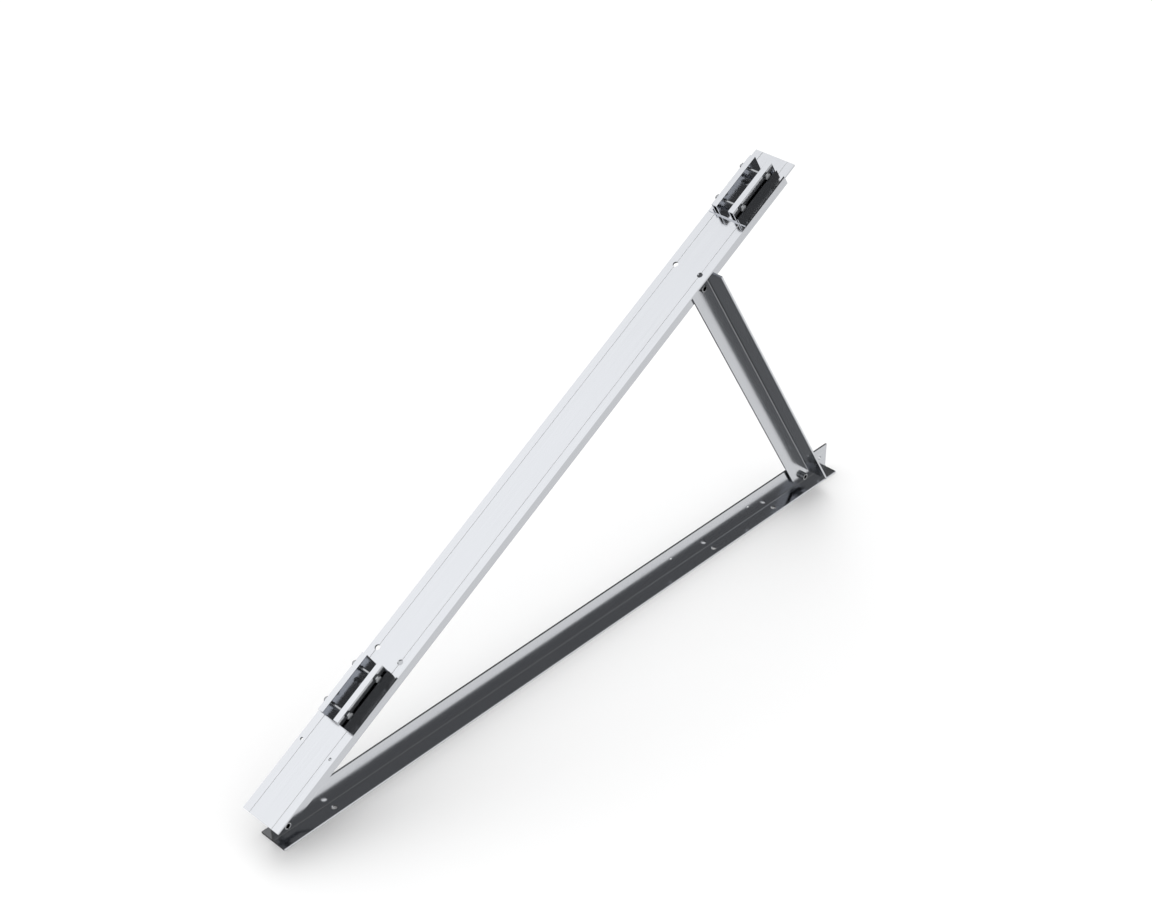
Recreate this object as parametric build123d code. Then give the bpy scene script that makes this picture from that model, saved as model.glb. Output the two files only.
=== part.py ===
from build123d import *
import math
import os

# Tilted ballast frame for solar modules, in millimetres.
# Three aluminium extrusions form a right-angled triangle that stands on a flat roof:
# a T-section base rail, a T-section top rail at the module slope, and an angle-section
# rear leg at right angles to the top rail. Two clamp brackets sit on the top rail.
# Origin: on the floor under the front joint, in the base rail's middle plane.
# +X runs along the base rail to the rear, +Y across it, +Z up.

# ---------------------------------------------------------------- driving dimensions
SLOPE = 30.0                # top rail above the floor, degrees
BASE_BOLT_SPACING = 1150.0  # front joint to foot joint, along the base rail
BASE_FRONT_MARGIN = 20.0    # front end of the base rail to the front joint
BASE_BOLT_Z = 25.0          # both lower joints above the floor
WALL = 3.0                  # wall of all three extrusions
ROOT_RADIUS = 2.0           # fillet where two walls of an extrusion meet

BASE_LENGTH = 1245.0
BASE_WIDTH = 50.0
BASE_HEIGHT = 50.0
BASE_HOLE_X = (82.0, 911.0, 1067.0)    # ballast and roof fixing holes in the flanges
BASE_HOLE_Y = 13.0
BASE_HOLE_DIAMETER = 9.0
STEM_HOLE_X = (815.0, 1011.0, 1207.0)  # spare holes in the upright wall
STEM_HOLE_Z = 29.0
STEM_HOLE_DIAMETER = 6.5

RAIL_LENGTH = 1237.0
RAIL_WIDTH = 75.0
RAIL_DEPTH = 65.0
RAIL_BOLT_DEPTH = 47.0      # joints below the upper face of the top rail
RAIL_FRONT_MARGIN = 17.0    # front joint from the low end of the top rail
RAIL_STEM_FRONT_X = -12.0   # the stem is cut off upright here
RAIL_STEM_FOOT_Z = 18.0     # and level here, clear of the base flange
RAIL_HOLES = ((123.0, 30.5, 5.0), (288.0, 24.0, 9.0), (1010.0, 24.0, 9.0))  # along, side, dia.
GROOVE_SIDE = 24.0          # drilling grooves along the upper face
GROOVE_WIDTH = 1.2
GROOVE_DEPTH = 0.5

LEG_SIDE = 42.0             # leg wall that is bolted to both rails
LEG_FLANGE = 40.0           # leg wall that stands out from them, over the corner
LEG_BOLT_SIDE = 20.0        # joints from the leg's outer rear face
LEG_FOOT_MARGIN = 12.0      # flange end below the foot joint
LEG_HEAD_MARGIN = 24.0      # leg end above the head joint
LEG_TOE_Z = 16.0            # the toe is cut level here, clear of the base flange
LEG_HOLE_MARGIN = 55.0      # spare flange holes from each joint
LEG_HOLE_DIAMETER = 6.5

BRACKET_LENGTH = 100.0
BRACKET_CENTRES = (("lower", 218.0), ("upper", 1161.5))  # along the top rail
SADDLE_WIDTH = 72.0
SADDLE_WALL = 2.0
SADDLE_FIN_SIDE = 25.6      # outer face of the locating fins
SADDLE_FIN_WALL = 1.8
SADDLE_FIN_HEIGHT = 11.2
CHANNEL_WIDTH = 42.4
CHANNEL_HEIGHT = 25.0       # above the top rail
SLOT_WIDTH = 22.0
CHANNEL_WALL = 2.0
CROSS_BOLT_SPACING = 63.5
CROSS_BOLT_HEIGHT = 16.8    # above the top rail
FIXING_SPACING = 30.0
FIXING_SIDE = 7.1

FRAME_BOLT = dict(shank=8.0, head=13.0, head_height=8.0, socket=6.0, socket_depth=4.0)
FRAME_NUT = dict(flats=13.0, height=6.5)
FRAME_WASHER = dict(outer=16.0, bore=8.4, height=1.6)
FRAME_HOLE = 9.0
CROSS_BOLT = dict(shank=6.0, flats=10.0, head_height=4.0)
CROSS_NUT = dict(flats=10.0, height=5.0)
CROSS_HOLE = 6.6
FIXING_SCREW = dict(shank=4.0, head=7.6, head_height=2.2, socket=2.5, socket_depth=1.2)
FIXING_NUT = dict(flats=7.0, height=3.2)
FIXING_HOLE = 4.5
THREAD_STANDOUT = 2.5       # bolt end past its nut
EDGE_BREAK = 0.4

# ---------------------------------------------------------------- derived places
# Walls are stacked along Y: base stem, then rail stem, then leg, each against the last.
BASE_FACE_Y = -WALL / 2
RAIL_Y = BASE_FACE_Y - WALL / 2
RAIL_FACE_Y = RAIL_Y - WALL / 2
LEG_FACE_Y = RAIL_FACE_Y - WALL

slope = math.radians(SLOPE)
rail_spacing = BASE_BOLT_SPACING * math.cos(slope)
leg_spacing = BASE_BOLT_SPACING * math.sin(slope)

front_bolt = Vector(0, 0, BASE_BOLT_Z)
foot_bolt = Vector(BASE_BOLT_SPACING, 0, BASE_BOLT_Z)
along = Vector(math.cos(slope), 0, math.sin(slope))
normal = Vector(-math.sin(slope), 0, math.cos(slope))
head_bolt = front_bolt + along * rail_spacing

# The top rail's own frame: x along it, z out of its upper face, origin at its low end.
rail_start = front_bolt + normal * RAIL_BOLT_DEPTH - along * RAIL_FRONT_MARGIN
rail_plane = Plane(
    origin=(rail_start.X, RAIL_Y, rail_start.Z),
    x_dir=(along.X, 0, along.Z),
    z_dir=(normal.X, 0, normal.Z),
)
# The leg's own frame: z up along it, x from its rear face to the front, y towards the near side.
leg_plane = Plane(
    origin=(foot_bolt.X + along.X * LEG_BOLT_SIDE, RAIL_FACE_Y, foot_bolt.Z + along.Z * LEG_BOLT_SIDE),
    x_dir=(-along.X, 0, -along.Z),
    z_dir=(normal.X, 0, normal.Z),
)


# ---------------------------------------------------------------- extrusions
def t_section(width, height, upward):
    """Outline of a T extrusion in the YZ plane, flange at z = 0, stem up or down."""
    turn = 1 if upward else -1
    flange = Pos(0, turn * WALL / 2) * Rectangle(width, WALL)
    stem = Pos(0, turn * height / 2) * Rectangle(WALL, height)
    section = flange + stem
    roots = [v for v in section.vertices() if abs(v.Y - turn * WALL) < 1e-6 and abs(v.X) < WALL]
    return fillet(roots, ROOT_RADIUS)


def along_x(section, length):
    """Extrude a section drawn across the piece along +X."""
    return extrude(Plane.YZ * section, length)


def hole_z(x, y, diameter):
    """A drill through a wall that lies level in the piece's own frame."""
    return Pos(x, y, 0) * Cylinder(diameter / 2, 4 * WALL)


def hole_y(x, z, diameter, reach=8 * WALL):
    """A drill across the piece, along Y."""
    return Pos(x, 0, z) * Rot(90, 0, 0) * Cylinder(diameter / 2, reach)


def base_rail():
    rail = Pos(-BASE_FRONT_MARGIN, 0, 0) * along_x(t_section(BASE_WIDTH, BASE_HEIGHT, True), BASE_LENGTH)
    for x in BASE_HOLE_X:
        for side in (-1, 1):
            rail -= hole_z(x, side * BASE_HOLE_Y, BASE_HOLE_DIAMETER)
    for x in STEM_HOLE_X:
        rail -= hole_y(x, STEM_HOLE_Z, STEM_HOLE_DIAMETER)
    for joint in (front_bolt, foot_bolt):
        rail -= hole_y(joint.X, joint.Z, FRAME_HOLE)
    return rail


def top_rail():
    rail = along_x(t_section(RAIL_WIDTH, RAIL_DEPTH, False), RAIL_LENGTH)
    for side in (-1, 1):
        groove = Polygon((-GROOVE_WIDTH / 2, 0.01), (0, -GROOVE_DEPTH), (GROOVE_WIDTH / 2, 0.01), align=None)
        rail -= along_x(Pos(side * GROOVE_SIDE, 0) * groove, RAIL_LENGTH)
        for x, offset, diameter in RAIL_HOLES:
            rail -= hole_z(x, side * offset, diameter)
        for _, centre in BRACKET_CENTRES:
            rail -= hole_z(centre + side * FIXING_SPACING / 2, side * FIXING_SIDE, FIXING_HOLE)
    for x in (RAIL_FRONT_MARGIN, RAIL_FRONT_MARGIN + rail_spacing):
        rail -= hole_y(x, -RAIL_BOLT_DEPTH, FRAME_HOLE)
    rail = rail_plane * rail
    # The stem's low end is cut upright and level so that it clears the base rail.
    plate_underside = rail_plane * Pos(RAIL_LENGTH / 2, 0, -WALL - 1.5 * RAIL_DEPTH) * Box(
        2 * RAIL_LENGTH, RAIL_WIDTH, 3 * RAIL_DEPTH)
    beyond_end = Pos(RAIL_STEM_FRONT_X - RAIL_DEPTH, RAIL_Y, 0) * Box(2 * RAIL_DEPTH, RAIL_WIDTH, 4 * RAIL_DEPTH)
    under_toe = Pos(0, RAIL_Y, RAIL_STEM_FOOT_Z - RAIL_DEPTH) * Box(4 * RAIL_DEPTH, RAIL_WIDTH, 2 * RAIL_DEPTH)
    return rail - (plate_underside & (beyond_end + under_toe))


def rear_leg():
    side_wall = Rectangle(LEG_SIDE, WALL, align=(Align.MIN, Align.MIN))
    flange = Rectangle(WALL, LEG_FLANGE, align=(Align.MIN, Align.MIN))
    section = side_wall + flange
    root = [v for v in section.vertices() if abs(v.X - WALL) < 1e-6 and abs(v.Y - WALL) < 1e-6]
    section = fillet(root, ROOT_RADIUS)
    length = LEG_FOOT_MARGIN + leg_spacing + LEG_HEAD_MARGIN
    leg = Pos(0, 0, -LEG_FOOT_MARGIN) * extrude(section, length)
    for z in (0, leg_spacing):
        leg -= hole_y(LEG_BOLT_SIDE, z, FRAME_HOLE)
    for z in (LEG_HOLE_MARGIN, leg_spacing - LEG_HOLE_MARGIN):
        leg -= Pos(0, (WALL + LEG_FLANGE) / 2, z) * Rot(0, 90, 0) * Cylinder(LEG_HOLE_DIAMETER / 2, 4 * WALL)
    leg = leg_plane * leg
    below_toe = Pos(foot_bolt.X, 0, LEG_TOE_Z - LEG_SIDE) * Box(4 * LEG_SIDE, 4 * LEG_FLANGE, 2 * LEG_SIDE)
    return leg - below_toe


# ---------------------------------------------------------------- clamp brackets
def saddle():
    """Flat extrusion with two low fins that locate the clamp channel, centred on its own length."""
    section = Pos(0, SADDLE_WALL / 2) * Rectangle(SADDLE_WIDTH, SADDLE_WALL)
    for side in (-1, 1):
        middle = side * (SADDLE_FIN_SIDE - SADDLE_FIN_WALL / 2)
        section += Pos(middle, SADDLE_FIN_HEIGHT / 2) * Rectangle(SADDLE_FIN_WALL, SADDLE_FIN_HEIGHT)
    piece = Pos(-BRACKET_LENGTH / 2, 0, 0) * along_x(section, BRACKET_LENGTH)
    for side in (-1, 1):
        piece -= hole_z(side * FIXING_SPACING / 2, side * FIXING_SIDE, FIXING_HOLE)
    return piece


def clamp_channel():
    """U extrusion with hollow walls; its slot takes the module rail and the bolts cross it."""
    floor = SADDLE_WALL
    middle = (floor + CHANNEL_HEIGHT) / 2
    height = CHANNEL_HEIGHT - floor
    wall_width = (CHANNEL_WIDTH - SLOT_WIDTH) / 2
    section = Pos(0, middle) * Rectangle(CHANNEL_WIDTH, height)
    section -= Pos(0, middle + CHANNEL_WALL) * Rectangle(SLOT_WIDTH, height)
    chamber = Rectangle(wall_width - 2 * CHANNEL_WALL, height - 2 * CHANNEL_WALL)
    for side in (-1, 1):
        section -= Pos(side * (SLOT_WIDTH + wall_width) / 2, middle) * fillet(chamber.vertices(), EDGE_BREAK)
    corners = [v for v in section.vertices() if abs(v.Y - CHANNEL_HEIGHT) < 1e-6]
    section = fillet(corners, EDGE_BREAK)
    piece = Pos(-BRACKET_LENGTH / 2, 0, 0) * along_x(section, BRACKET_LENGTH)
    for side in (-1, 1):
        piece -= hole_y(side * CROSS_BOLT_SPACING / 2, CROSS_BOLT_HEIGHT, CROSS_HOLE, 2 * CHANNEL_WIDTH)
        piece -= hole_z(side * FIXING_SPACING / 2, side * FIXING_SIDE, FIXING_HOLE)
    return piece


# ---------------------------------------------------------------- fasteners
# Each is drawn with its head or bearing face at z = 0 and its shank along -z.
def socket_screw(shank, head, head_height, socket, socket_depth, length):
    top = Pos(0, 0, head_height / 2) * Cylinder(head / 2, head_height)
    top = chamfer(top.edges().filter_by(GeomType.CIRCLE).sort_by(Axis.Z)[-1], EDGE_BREAK)
    recess = RegularPolygon(socket / 2, 6, major_radius=False)
    top -= Pos(0, 0, head_height - socket_depth) * extrude(recess, socket_depth)
    return top + Pos(0, 0, -length / 2) * Cylinder(shank / 2, length)


def hex_bolt(shank, flats, head_height, length):
    top = extrude(RegularPolygon(flats / 2, 6, major_radius=False), head_height)
    return top + Pos(0, 0, -length / 2) * Cylinder(shank / 2, length)


def hex_nut(flats, height, bore):
    nut = extrude(RegularPolygon(flats / 2, 6, major_radius=False), -height)
    return nut - Pos(0, 0, -height / 2) * Cylinder(bore / 2, 2 * height)


def ring(outer, bore, height):
    return Pos(0, 0, -height / 2) * (Cylinder(outer / 2, height) - Cylinder(bore / 2, 2 * height))


def across(joint, y):
    """Place a fastener at a joint with its head towards -Y and its shank towards +Y."""
    return Pos(joint.X, y, joint.Z) * Rot(90, 0, 0)


def frame_joint(name, joint, near_face, far_face):
    """Cap screw from the near side, washer and nut on the far side."""
    washer_end = far_face + FRAME_WASHER["height"]
    grip = washer_end + FRAME_NUT["height"] + THREAD_STANDOUT - near_face
    nut_bore = FRAME_BOLT["shank"]
    return {
        name + "_cap_screw": across(joint, near_face) * socket_screw(length=grip, **FRAME_BOLT),
        name + "_washer": across(joint, far_face) * ring(**FRAME_WASHER),
        name + "_nut": across(joint, washer_end) * hex_nut(bore=nut_bore, **FRAME_NUT),
    }


def bracket(name, centre):
    """One clamp bracket with its cross bolts and fixing screws, on the top rail."""
    place = rail_plane * Pos(centre, 0, 0)
    half = CHANNEL_WIDTH / 2
    slot_floor = SADDLE_WALL + CHANNEL_WALL
    cross_length = CHANNEL_WIDTH + CROSS_NUT["height"] + THREAD_STANDOUT
    fixing_length = slot_floor + WALL + FIXING_NUT["height"] + THREAD_STANDOUT / 2
    bolts, nuts, screws, screw_nuts = [], [], [], []
    for side in (-1, 1):
        station = Pos(side * CROSS_BOLT_SPACING / 2, 0, CROSS_BOLT_HEIGHT)
        bolts.append(station * Pos(0, -half, 0) * Rot(90, 0, 0) * hex_bolt(length=cross_length, **CROSS_BOLT))
        nuts.append(station * Pos(0, half, 0) * Rot(90, 0, 0) * hex_nut(bore=CROSS_BOLT["shank"], **CROSS_NUT))
        fixing = Pos(side * FIXING_SPACING / 2, side * FIXING_SIDE, 0)
        screws.append(fixing * Pos(0, 0, slot_floor) * socket_screw(length=fixing_length, **FIXING_SCREW))
        screw_nuts.append(fixing * Pos(0, 0, -WALL) * hex_nut(bore=FIXING_SCREW["shank"], **FIXING_NUT))
    return {
        name + "_bracket_saddle": place * saddle(),
        name + "_bracket_clamp_channel": place * clamp_channel(),
        name + "_bracket_cross_bolts": Compound([place * piece for piece in bolts]),
        name + "_bracket_cross_nuts": Compound([place * piece for piece in nuts]),
        name + "_bracket_fixing_screws": Compound([place * piece for piece in screws]),
        name + "_bracket_fixing_nuts": Compound([place * piece for piece in screw_nuts]),
    }


# ---------------------------------------------------------------- assembly
parts = {"base_rail": base_rail(), "top_rail": top_rail(), "rear_leg": rear_leg()}
parts.update(frame_joint("front_joint", front_bolt, RAIL_FACE_Y, -BASE_FACE_Y))
parts.update(frame_joint("head_joint", head_bolt, LEG_FACE_Y, RAIL_FACE_Y + WALL))
parts.update(frame_joint("foot_joint", foot_bolt, LEG_FACE_Y, -BASE_FACE_Y))
spacer_size = dict(FRAME_WASHER, height=WALL)
parts["foot_joint_spacer"] = across(foot_bolt, RAIL_FACE_Y) * ring(**spacer_size)
for bracket_name, centre in BRACKET_CENTRES:
    parts.update(bracket(bracket_name, centre))

os.makedirs("parts", exist_ok=True)
for node, shape in parts.items():
    export_step(shape, f"parts/{node}.step")
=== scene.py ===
import bmesh
import bpy
import math
from mathutils import Matrix, Vector


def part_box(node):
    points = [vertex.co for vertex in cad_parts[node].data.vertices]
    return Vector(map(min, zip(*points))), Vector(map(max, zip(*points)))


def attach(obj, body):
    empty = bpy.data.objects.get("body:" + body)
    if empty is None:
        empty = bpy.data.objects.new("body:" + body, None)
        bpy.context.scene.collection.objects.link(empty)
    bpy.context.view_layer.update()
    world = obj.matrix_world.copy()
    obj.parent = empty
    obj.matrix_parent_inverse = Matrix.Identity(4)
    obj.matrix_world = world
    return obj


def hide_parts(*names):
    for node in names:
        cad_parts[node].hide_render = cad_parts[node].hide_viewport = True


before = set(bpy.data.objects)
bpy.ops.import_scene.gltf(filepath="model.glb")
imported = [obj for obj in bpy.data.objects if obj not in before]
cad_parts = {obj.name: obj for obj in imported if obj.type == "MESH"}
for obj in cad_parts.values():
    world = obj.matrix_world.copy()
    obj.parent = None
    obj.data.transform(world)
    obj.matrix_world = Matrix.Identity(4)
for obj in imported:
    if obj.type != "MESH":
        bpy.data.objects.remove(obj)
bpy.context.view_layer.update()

# ---------------------------------------------------------------- base rail
# The base rail is a T extrusion of aluminium that lies on the roof with its flange down.
# It leaves the press with a bright skin and faint die lines along its length, and is then sawn
# off and drilled: the flange for the ballast, the upright wall for the joints.
MM = 0.001
DIE_LINE_SPACING = 1.6 * MM     # real die lines are about 0.2 mm apart; drawn coarser so that they show
DIE_LINE_STRETCH = 0.01         # each line is a hundred times longer than it is wide
DIE_LINE_DEPTH = 0.0025 * MM
DIE_LINE_RELIEF = 0.35
HANDLING_PATCH = 90 * MM        # soft changes of gloss, where a hand or a bench has rubbed the skin
RUBBED_LEAST, RUBBED_MOST = 0.75, 1.35          # of the skin's roughness
SKIN_LIGHT, SKIN_DEEP = "#C8CACE", "#C0C2C6"
SKIN_ROUGHNESS = 0.15
COLOUR_A, COLOUR_B, COLOUR_OUT = 6, 7, 2        # a Mix node's sockets when it mixes colours


def linear(hex_colour):
    """An sRGB hex colour as linear values with an alpha of 1."""
    channels = [int(hex_colour[i:i + 2], 16) / 255 for i in (1, 3, 5)]
    return [c / 12.92 if c <= 0.04045 else ((c + 0.055) / 1.055) ** 2.4 for c in channels] + [1.0]


def add_node(tree, kind, links=None, **settings):
    """Add a node, set its properties or input values, and link its inputs to other nodes' outputs."""
    node = tree.nodes.new(kind)
    for name, value in settings.items():
        if name.startswith("in_"):
            key = name[3:]
            node.inputs[int(key) if key.isdigit() else key.replace("_", " ")].default_value = value
        else:
            setattr(node, name, value)
    for key, output in (links or {}).items():
        tree.links.new(output, node.inputs[key])
    return node


def finish_metal(tree, tone, gloss, relief):
    """Give a material's shader its metal, and the nodes of its colour, roughness and bump."""
    shader = tree.nodes["Principled BSDF"]
    shader.inputs["Metallic"].default_value = 1.0
    tree.links.new(tone.outputs[COLOUR_OUT], shader.inputs["Base Color"])
    tree.links.new(gloss.outputs[0], shader.inputs["Roughness"])
    tree.links.new(relief.outputs[0], shader.inputs["Normal"])


def extruded_aluminium(name, lean, roughness=SKIN_ROUGHNESS):
    """Bright extruded aluminium: die lines run along the piece, which leans up from +X by an angle."""
    material = bpy.data.materials.new(name)
    material.use_nodes = True
    tree = material.node_tree
    place = add_node(tree, "ShaderNodeTexCoord").outputs["Object"]
    along = add_node(tree, "ShaderNodeMapping", {"Vector": place}, in_Rotation=(0, lean, 0))
    drawn = add_node(tree, "ShaderNodeMapping", {"Vector": along.outputs[0]},
                     in_Scale=(DIE_LINE_STRETCH, 1, 1))
    lines = add_node(tree, "ShaderNodeTexNoise", {"Vector": drawn.outputs[0]},
                     in_Scale=1 / DIE_LINE_SPACING, in_Detail=3.0, in_Roughness=0.6)
    rubbed = add_node(tree, "ShaderNodeTexNoise", {"Vector": place},
                      in_Scale=1 / HANDLING_PATCH, in_Detail=4.0, in_Roughness=0.55)
    tone = add_node(tree, "ShaderNodeMix", {"Factor": lines.outputs["Fac"]}, data_type="RGBA")
    tone.inputs[COLOUR_A].default_value = linear(SKIN_DEEP)
    tone.inputs[COLOUR_B].default_value = linear(SKIN_LIGHT)
    gloss = add_node(tree, "ShaderNodeMapRange", {"Value": rubbed.outputs["Fac"]},
                     in_To_Min=roughness * RUBBED_LEAST, in_To_Max=roughness * RUBBED_MOST)
    relief = add_node(tree, "ShaderNodeBump", {"Height": lines.outputs["Fac"]},
                      in_Strength=DIE_LINE_RELIEF, in_Distance=DIE_LINE_DEPTH)
    finish_metal(tree, tone, gloss, relief)
    return material


def finish_node(node, material):
    """Give a CAD node its finish."""
    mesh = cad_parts[node].data
    mesh.materials.clear()
    mesh.materials.append(material)


finish_node("base_rail", extruded_aluminium("extruded_aluminium_level", 0.0))

# ---------------------------------------------------------------- top rail
# The top rail is the wider T extrusion of aluminium, plate up, that the modules are clamped over.
# It has the same skin as the base rail, with the die lines up the slope, and two shallow grooves
# along its plate, where a drill is set down.
# The grooves are painted paler and less metallic than the plate: painted light that lifts the shade in them.
SLOPE = math.radians(30)
GROOVE_SIDE = 24 * MM           # from the rail's middle plane to the middle of each groove
GROOVE_REACH = 0.75 * MM        # half of the width that is finished as a groove
# Painted light: a paler tone for the grooves that lifts the shade falling in them.
GROOVE_PAINTED_LIGHT_TONE = "#E4E6E9"
GROOVE_METAL, PLATE_METAL = 0.45, 1.0


def paint_light_into_grooves(material, middle):
    """Paint the grooves paler and less metallic than the plate: painted light that lifts the shade falling
    in them, so that they read as faint lines.
    """
    tree = material.node_tree
    shader = tree.nodes["Principled BSDF"]
    place = add_node(tree, "ShaderNodeTexCoord").outputs["Object"]
    y = add_node(tree, "ShaderNodeSeparateXYZ", {"Vector": place}).outputs["Y"]
    from_middle = add_node(tree, "ShaderNodeMath", {0: y}, operation="SUBTRACT", in_1=middle).outputs[0]
    side = add_node(tree, "ShaderNodeMath", {0: from_middle}, operation="ABSOLUTE").outputs[0]
    groove = add_node(tree, "ShaderNodeMath", {0: side}, operation="COMPARE", in_1=GROOVE_SIDE,
                      in_2=GROOVE_REACH).outputs[0]
    metal = add_node(tree, "ShaderNodeMapRange", {"Value": groove}, in_To_Min=PLATE_METAL,
                     in_To_Max=GROOVE_METAL).outputs[0]
    skin = shader.inputs["Base Color"].links[0].from_socket
    tone = add_node(tree, "ShaderNodeMix", {"Factor": groove, COLOUR_A: skin}, data_type="RGBA")
    tone.inputs[COLOUR_B].default_value = linear(GROOVE_PAINTED_LIGHT_TONE)
    tree.links.new(tone.outputs[COLOUR_OUT], shader.inputs["Base Color"])
    tree.links.new(metal, shader.inputs["Metallic"])


rail_low, rail_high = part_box("top_rail")
rail_middle = (rail_low.y + rail_high.y) / 2
sloped_skin = extruded_aluminium("extruded_aluminium_sloped", SLOPE)
# Painted light in the grooves, paler than the plate, against the shade in them.
paint_light_into_grooves(sloped_skin, rail_middle)
finish_node("top_rail", sloped_skin)

# ---------------------------------------------------------------- rear leg
# The rear leg is an angle extrusion of aluminium at right angles to the top rail, sawn level at
# the toe. Its bare walls carry the same bright skin, with the die lines up the leg.
finish_node("rear_leg", extruded_aluminium("extruded_aluminium_upright", SLOPE + math.pi / 2))

# ---------------------------------------------------------------- joint screws
# Each joint of the triangle is held by an M8 socket head cap screw of stainless steel.
# It is cold headed, and the side of its head is knurled for the fingers.
AROUND = 48                     # points in every loop of a fastener, hexagons too, so that loops pair up
SMOOTH_BELOW = math.radians(35)
STEEL_LIGHT, STEEL_DEEP = "#A9ABAD", "#8F9194"
STEEL_ROUGHNESS = 0.2
SATIN_LEAST, SATIN_MOST = 0.7, 1.4              # of the steel's roughness
GRAIN = 0.35 * MM
GRAIN_DEPTH = 0.01 * MM
GRAIN_RELIEF = 0.3
RIDGE_DEPTH = 0.61              # a thread's sizes, in pitches
RIDGE_RISE, RIDGE_FALL = 0.45, 0.55
PLAIN_END = 0.4
M8_RADIUS, M8_PITCH = 4 * MM, 1.25 * MM
M8_HEAD, M8_HEAD_HEIGHT = 13 * MM, 8 * MM
M8_SOCKET, M8_SOCKET_DEPTH = 6 * MM, 4 * MM
M8_THREAD_LENGTH = 10 * MM


def ring(bm, radius, height, sides=AROUND):
    """Add one closed loop round Z and return its edges, in the same order at each run."""
    place = Matrix.Translation((0, 0, height)) @ Matrix.Rotation(math.pi / 2, 4, "Z")
    loop = bmesh.ops.create_circle(bm, segments=sides, radius=radius, matrix=place)["verts"]
    edges = list(dict.fromkeys(e for v in loop for e in v.link_edges))
    if sides != AROUND:
        cut = bmesh.ops.subdivide_edges(bm, edges=edges, cuts=AROUND // sides - 1)
        edges = [g for g in dict.fromkeys(cut["geom"]) if isinstance(g, bmesh.types.BMEdge)]
    return edges


def loft(bm, loops):
    """Skin a row of loops, each given as radius, height and, if it isn't round, its count of sides."""
    rings = [ring(bm, *loop) for loop in loops]
    for lower, upper in zip(rings, rings[1:]):
        bmesh.ops.bridge_loops(bm, edges=lower + upper)
    return rings


def close(bm, edges):
    """Fill one loop with a face."""
    bmesh.ops.edgeloop_fill(bm, edges=edges)


def thread(radius, pitch, start, end):
    """Loops of a thread from start down to end, drawn as parallel ridges at the real pitch."""
    root = radius - RIDGE_DEPTH * pitch
    loops = []
    height = start
    while height - pitch > end:
        rise, fall = height - RIDGE_RISE * pitch, height - RIDGE_FALL * pitch
        loops += [(root, height), (radius, rise), (radius, fall)]
        height -= pitch
    return loops + [(root, height), (root, end)]


def threaded_end(radius, pitch, length, thread_length):
    """Loops of a shank's thread, from where it starts to the shank's flat end."""
    loops = thread(radius, pitch, thread_length - length, PLAIN_END * pitch - length)
    return loops + [(radius - RIDGE_DEPTH * pitch, -length)]


def stainless(name):
    """Cold-headed stainless steel: a satin grey metal with a fine, even grain."""
    material = bpy.data.materials.new(name)
    material.use_nodes = True
    tree = material.node_tree
    place = add_node(tree, "ShaderNodeTexCoord").outputs["Object"]
    speckle = add_node(tree, "ShaderNodeTexNoise", {"Vector": place}, in_Scale=1 / GRAIN,
                       in_Detail=3.0).outputs["Fac"]
    gloss = add_node(tree, "ShaderNodeMapRange", {"Value": speckle},
                     in_To_Min=STEEL_ROUGHNESS * SATIN_LEAST, in_To_Max=STEEL_ROUGHNESS * SATIN_MOST)
    relief = add_node(tree, "ShaderNodeBump", {"Height": speckle}, in_Strength=GRAIN_RELIEF,
                      in_Distance=GRAIN_DEPTH)
    tone = add_node(tree, "ShaderNodeMix", {"Factor": speckle}, data_type="RGBA")
    tone.inputs[COLOUR_A].default_value = linear(STEEL_DEEP)
    tone.inputs[COLOUR_B].default_value = linear(STEEL_LIGHT)
    finish_metal(tree, tone, gloss, relief)
    return material


fastener_steel = stainless("cold_headed_stainless_steel")


def stand_for(node, bm, places):
    """Make one piece of copies of a bmesh at their places, in the place of a CAD node."""
    joined = bmesh.new()
    bmesh.ops.recalc_face_normals(bm, faces=bm.faces)
    for place in places:
        copy = bpy.data.meshes.new("copy")
        bm.to_mesh(copy)
        copy.transform(place)
        joined.from_mesh(copy)
        bpy.data.meshes.remove(copy)
    for edge in joined.edges:
        edge.smooth = edge.is_manifold and edge.calc_face_angle() < SMOOTH_BELOW
    for face in joined.faces:
        face.smooth = True
    mesh = bpy.data.meshes.new(node + "_detailed")
    joined.to_mesh(mesh)
    joined.free()
    bm.free()
    mesh.materials.append(fastener_steel)
    piece = bpy.data.objects.new(node + "_detailed", mesh)
    bpy.context.scene.collection.objects.link(piece)
    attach(piece, "root")
    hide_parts(node)


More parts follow.
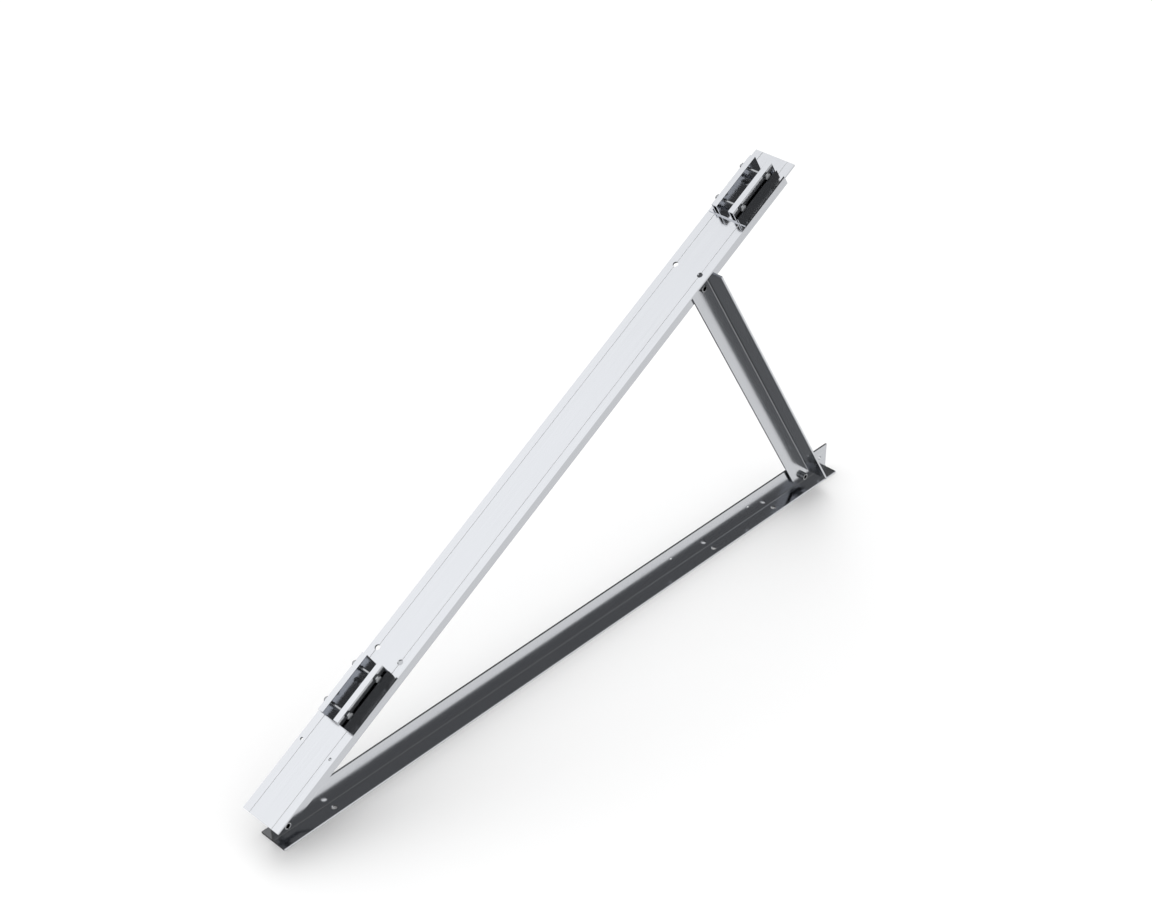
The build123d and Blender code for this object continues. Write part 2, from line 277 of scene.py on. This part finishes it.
def socket_screw(radius, pitch, head, head_height, socket, socket_depth, length, thread_length):
    """A socket head screw along Z with its bearing face at 0 and its shank below."""
    bm = bmesh.new()
    rim = 0.07 * head                           # rounding of the head's edges
    lip = 0.03 * head                           # chamfer round the recess
    lip_height = head_height - 0.02 * head
    corner = socket / math.sqrt(3)              # of the hexagon recess
    recess_floor, recess_foot = head_height - socket_depth, head_height - 0.9 * socket_depth
    floor_corner = 0.55 * socket
    knurl_top, knurl_foot = head_height - 1.6 * rim, 0.6 * rim
    bearing = head / 2 - 0.4 * rim
    loops = [(floor_corner, recess_floor, 6), (corner, recess_foot, 6), (corner, lip_height, 6)]
    loops += [(corner + lip, head_height), (head / 2 - rim, head_height), (head / 2, head_height - rim)]
    loops += [(head / 2, knurl_top), (head / 2, knurl_foot), (bearing, 0), (radius, 0)]
    rings = loft(bm, loops + threaded_end(radius, pitch, length, thread_length))
    close(bm, rings[0])
    close(bm, rings[-1])
    # The knurl: each facet of the flank between two plain bands is pressed in, which leaves ridges.
    near = MM / 100
    inside_flank = 0.45 * head
    flank = [f for f in bm.faces if all(knurl_foot - near < v.co.z < knurl_top + near for v in f.verts)
             and f.calc_center_median().xy.length > inside_flank]
    ridge, press = 0.008 * head, 0.006 * head
    bmesh.ops.inset_individual(bm, faces=flank, thickness=ridge, depth=-press)
    return bm


def across(x, y, z):
    """The place of a fastener whose head looks towards -Y."""
    return Matrix.Translation((x, y, z)) @ Matrix.Rotation(math.pi / 2, 4, "X")


def centre(node):
    """The middle of a CAD node's box."""
    low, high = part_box(node)
    return (low + high) / 2


for joint in ("front", "head", "foot"):
    node = joint + "_joint_cap_screw"
    low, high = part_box(node)
    middle = centre(node)
    screw = socket_screw(M8_RADIUS, M8_PITCH, M8_HEAD, M8_HEAD_HEIGHT, M8_SOCKET, M8_SOCKET_DEPTH,
                         length=high.y - low.y - M8_HEAD_HEIGHT, thread_length=M8_THREAD_LENGTH)
    stand_for(node, screw, [across(middle.x, low.y + M8_HEAD_HEIGHT, middle.z)])

# ---------------------------------------------------------------- joint washers, nuts and spacer
# Behind each joint sit a plain washer and an M8 nut of stainless steel; the foot joint also has a
# spacer as thick as the rail's wall. Washers are punched, so one edge is round and the other
# sharp, and both ends of a nut are turned to a cone.
M8_WASHER = (16 * MM, 8.4 * MM, 1.6 * MM)       # outside, bore and thickness
FOOT_SPACER = (16 * MM, 8.4 * MM, 3 * MM)
M8_FLATS, M8_NUT_HEIGHT = 13 * MM, 6.5 * MM
CONE_HEIGHT, CONE_RADIUS = 0.1, 0.475           # of a hexagon's width across its flats


def washer(outer, bore, height):
    """A punched washer below 0, with its rounded edge up."""
    bm = bmesh.new()
    roll = 0.25 * height
    shoulder = 0.3 * roll
    rings = loft(bm, [(bore / 2, -height), (bore / 2, -roll), (bore / 2 + roll, 0), (outer / 2 - roll, 0),
                      (outer / 2 - shoulder, -shoulder), (outer / 2, -roll), (outer / 2, -height)])
    bmesh.ops.bridge_loops(bm, edges=rings[0] + rings[-1])
    return bm


def hexagon_head(flats, low, high, inner_low, inner_high):
    """Loops of a hexagon whose two ends are turned to a cone, from an inner loop to an inner loop."""
    corner = flats / math.sqrt(3)
    lift = CONE_HEIGHT * flats
    return [(inner_low, low), (CONE_RADIUS * flats, low), (corner, low + lift, 6),
            (corner, high - lift, 6), (CONE_RADIUS * flats, high), (inner_high, high)]


def hex_nut(flats, height, radius, pitch):
    """A chamfered hexagon nut below 0 with ridges of its thread in the bore."""
    bm = bmesh.new()
    step = 0.3 * pitch                          # from the nut's faces to the ends of its thread
    mouth, crest = radius * 1.06, radius * 0.98 + step
    rings = loft(bm, hexagon_head(flats, -height, 0, mouth, mouth))
    bore = loft(bm, thread(crest, pitch, -step, step - height))
    bmesh.ops.bridge_loops(bm, edges=rings[-1] + bore[0])
    bmesh.ops.bridge_loops(bm, edges=rings[0] + bore[-1])
    return bm


for joint in ("front", "head", "foot"):
    for part, make in (("washer", lambda: washer(*M8_WASHER)),
                       ("nut", lambda: hex_nut(M8_FLATS, M8_NUT_HEIGHT, M8_RADIUS, M8_PITCH))):
        node = f"{joint}_joint_{part}"
        middle = centre(node)
        stand_for(node, make(), [across(middle.x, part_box(node)[0].y, middle.z)])
middle = centre("foot_joint_spacer")
stand_for("foot_joint_spacer", washer(*FOOT_SPACER),
          [across(middle.x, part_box("foot_joint_spacer")[0].y, middle.z)])

# ---------------------------------------------------------------- clamp brackets
# Each bracket is a flat saddle and a U channel with hollow walls, both extruded in aluminium and
# sawn off. They carry the same bright skin as the rails, a little glossier.
BRACKET_ROUGHNESS = 0.12
bracket_skin = extruded_aluminium("extruded_aluminium_bracket", SLOPE, roughness=BRACKET_ROUGHNESS)
for bracket in ("lower", "upper"):
    finish_node(bracket + "_bracket_saddle", bracket_skin)
    finish_node(bracket + "_bracket_clamp_channel", bracket_skin)

# ---------------------------------------------------------------- bracket screws
# Two M6 hexagon bolts cross each channel, and two M4 socket screws hold the channel and its
# saddle to the rail. All are cold headed from stainless steel.
M6_RADIUS, M6_PITCH, M6_FLATS = 3 * MM, 1.0 * MM, 10 * MM
M6_HEAD_HEIGHT, M6_NUT_HEIGHT, M6_THREAD_LENGTH = 4 * MM, 5 * MM, 10 * MM
M4_RADIUS, M4_PITCH, M4_FLATS, M4_NUT_HEIGHT = 2 * MM, 0.7 * MM, 7 * MM, 3.2 * MM
M4_HEAD, M4_HEAD_HEIGHT = 7.6 * MM, 2.2 * MM
M4_SOCKET, M4_SOCKET_DEPTH = 2.5 * MM, 1.2 * MM
M4_LENGTH, M4_THREAD_LENGTH = 11.45 * MM, 7 * MM
RAIL_LENGTH = 1237 * MM
BRACKET_PLACES = (("lower", 218 * MM), ("upper", 1161.5 * MM))     # along the rail, to the bracket's middle
CROSS_SPACING, CROSS_HEIGHT = 63.5 * MM, 16.8 * MM
FIXING_SPACING, FIXING_SIDE = 30 * MM, 7.1 * MM
SLOT_FLOOR = 4 * MM             # above the rail's plate
PLATE = 3 * MM
RAIL_FRAME = (Matrix.Translation((rail_low.x, rail_middle, rail_high.z - RAIL_LENGTH * math.sin(SLOPE)))
              @ Matrix.Rotation(-SLOPE, 4, "Y"))


def hex_bolt(flats, head_height, radius, pitch, length, thread_length):
    """A hexagon bolt along Z with its bearing face at 0 and its shank below."""
    bm = bmesh.new()
    crown = 0.3 * flats                         # the flat middle of the head's top
    loops = hexagon_head(flats, 0, head_height, radius, crown)[::-1]
    rings = loft(bm, loops + threaded_end(radius, pitch, length, thread_length))
    close(bm, rings[0])
    close(bm, rings[-1])
    return bm


def on_rail(x, y, z):
    """A place in the rail's own frame: x along it, z out of its plate."""
    return RAIL_FRAME @ Matrix.Translation((x, y, z))


facing = Matrix.Rotation(math.pi / 2, 4, "X")
for bracket, middle in BRACKET_PLACES:
    crossing = [middle - CROSS_SPACING / 2, middle + CROSS_SPACING / 2]
    bolt_low, bolt_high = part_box(bracket + "_bracket_cross_bolts")
    nut_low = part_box(bracket + "_bracket_cross_nuts")[0]
    bearing = bolt_low.y + M6_HEAD_HEIGHT
    bolt = hex_bolt(M6_FLATS, M6_HEAD_HEIGHT, M6_RADIUS, M6_PITCH, bolt_high.y - bearing, M6_THREAD_LENGTH)
    stand_for(bracket + "_bracket_cross_bolts", bolt,
              [on_rail(x, bearing - rail_middle, CROSS_HEIGHT) @ facing for x in crossing])
    stand_for(bracket + "_bracket_cross_nuts", hex_nut(M6_FLATS, M6_NUT_HEIGHT, M6_RADIUS, M6_PITCH),
              [on_rail(x, nut_low.y - rail_middle, CROSS_HEIGHT) @ facing for x in crossing])
    fixings = [(middle + side * FIXING_SPACING / 2, side * FIXING_SIDE) for side in (-1, 1)]
    screw = socket_screw(M4_RADIUS, M4_PITCH, M4_HEAD, M4_HEAD_HEIGHT, M4_SOCKET, M4_SOCKET_DEPTH,
                         M4_LENGTH, M4_THREAD_LENGTH)
    stand_for(bracket + "_bracket_fixing_screws", screw, [on_rail(x, y, SLOT_FLOOR) for x, y in fixings])
    stand_for(bracket + "_bracket_fixing_nuts", hex_nut(M4_FLATS, M4_NUT_HEIGHT, M4_RADIUS, M4_PITCH),
              [on_rail(x, y, -PLATE) for x, y in fixings])

# ---------------------------------------------------------------- studio
# The part stands on a pale floor in soft light. Only the metal's reflections see the light tent:
# its bright panels and the dark between them shape the faces. They don't see the floor, and all
# other light comes from plain white and one soft lamp.
FLOOR_SIDE = 12.0
FLOOR_TONE, FLOOR_ROUGHNESS = "#F6F6F6", 0.9
floor_bm = bmesh.new()
bmesh.ops.create_grid(floor_bm, x_segments=1, y_segments=1, size=FLOOR_SIDE / 2)
floor_mesh = bpy.data.meshes.new("floor")
floor_bm.to_mesh(floor_mesh)
floor_bm.free()
floor = bpy.data.objects.new("floor", floor_mesh)
bpy.context.scene.collection.objects.link(floor)
paint = bpy.data.materials.new("matt_white_paint")
paint.use_nodes = True
paint.node_tree.nodes["Principled BSDF"].inputs["Base Color"].default_value = linear(FLOOR_TONE)
paint.node_tree.nodes["Principled BSDF"].inputs["Roughness"].default_value = FLOOR_ROUGHNESS
floor_mesh.materials.append(paint)
floor.visible_glossy = False

world = bpy.data.worlds.new("light_tent")
bpy.context.scene.world = world
world.use_nodes = True
sky = world.node_tree
background = sky.nodes["Background"]
direction = add_node(sky, "ShaderNodeTexCoord").outputs["Generated"]


def panel(towards, inner, outer, strength):
    """A soft-edged bright panel of the tent: full inside one angle from its middle, nothing past another."""
    middle = Vector(towards).normalized()
    nearness = add_node(sky, "ShaderNodeVectorMath", {0: direction}, operation="DOT_PRODUCT")
    nearness.inputs[1].default_value = middle
    glow = add_node(sky, "ShaderNodeMapRange", {"Value": nearness.outputs["Value"]},
                    interpolation_type="SMOOTHSTEP", in_From_Min=math.cos(math.radians(outer)),
                    in_From_Max=math.cos(math.radians(inner)), in_To_Min=0.0, in_To_Max=strength)
    return glow.outputs[0]


# Towards, inner angle, outer angle and strength of each panel.
PANELS = [
    ((-0.50, 0.56, 0.66), 14, 60, 1.36),    # over the back, for the top rail's plate
    ((0.59, -0.62, 0.50), 12, 40, 0.09),    # front right, for the rails' corners
    ((0.59, -0.57, -0.57), 12, 26, 0.90),   # low at the front right, for the upright walls
    ((-0.80, -0.30, 0.10), 15, 40, 0.70),   # at the left, for the faces that look to the front
    ((0.20, 0.95, -0.25), 12, 34, 0.90),    # behind, for the walls that look to the back
    ((0.15, -0.55, -0.82), 6, 22, 0.14),    # below, for the leg's outstanding wall
]
AMBIENT = 0.09                              # the tent's unlit cloth
VALUE_A, VALUE_B = 2, 3                     # a Mix node's sockets when it mixes values
total = None
for one in PANELS:
    light = panel(*one)
    if total is not None:
        light = add_node(sky, "ShaderNodeMath", {0: total, 1: light}, operation="ADD").outputs[0]
    total = light
tent = add_node(sky, "ShaderNodeMath", {0: total}, operation="ADD", in_1=AMBIENT).outputs[0]
rays = add_node(sky, "ShaderNodeLightPath")
seen = add_node(sky, "ShaderNodeMix", {0: rays.outputs["Is Glossy Ray"], VALUE_B: tent}, data_type="FLOAT")
seen.inputs[VALUE_A].default_value = 1.0
sky.links.new(seen.outputs[0], background.inputs["Strength"])
background.inputs["Color"].default_value = linear("#FFFFFF")

LAMP_STRENGTH = 0.6
LAMP_SPREAD = math.radians(50)
LAMP_TURN = (math.radians(-20), math.radians(15), 0)
lamp_data = bpy.data.lights.new("overhead_softbox", "SUN")
lamp_data.energy = LAMP_STRENGTH
lamp_data.angle = LAMP_SPREAD
lamp = bpy.data.objects.new("overhead_softbox", lamp_data)
lamp.rotation_euler = LAMP_TURN
lamp.visible_glossy = False
bpy.context.scene.collection.objects.link(lamp)
bpy.context.scene.view_settings.view_transform = "Standard"

# ---------------------------------------------------------------- camera
# The camera looks down on the near side from the front left, about 35 degrees above the floor.
# Its place is in metres and its angles are in degrees.
SENSOR, LENS = 36.0, 62.89      # in millimetres
NEAREST, FARTHEST = 0.1, 50.0
CAMERA_PLACE = (-1.1540, -1.7011, 2.0567)
AZIMUTH, ELEVATION, ROLL = 45.826, 35.172, -0.591
camera_data = bpy.data.cameras.new("camera")
camera_data.sensor_width = SENSOR
camera_data.lens = LENS
camera_data.clip_start = NEAREST
camera_data.clip_end = FARTHEST
camera = bpy.data.objects.new("camera", camera_data)
camera.location = CAMERA_PLACE
camera.rotation_euler = (Matrix.Rotation(math.radians(-AZIMUTH), 3, "Z")
                         @ Matrix.Rotation(math.radians(90 - ELEVATION), 3, "X")
                         @ Matrix.Rotation(math.radians(ROLL), 3, "Z")).to_euler()
bpy.context.scene.collection.objects.link(camera)
bpy.context.scene.camera = camera
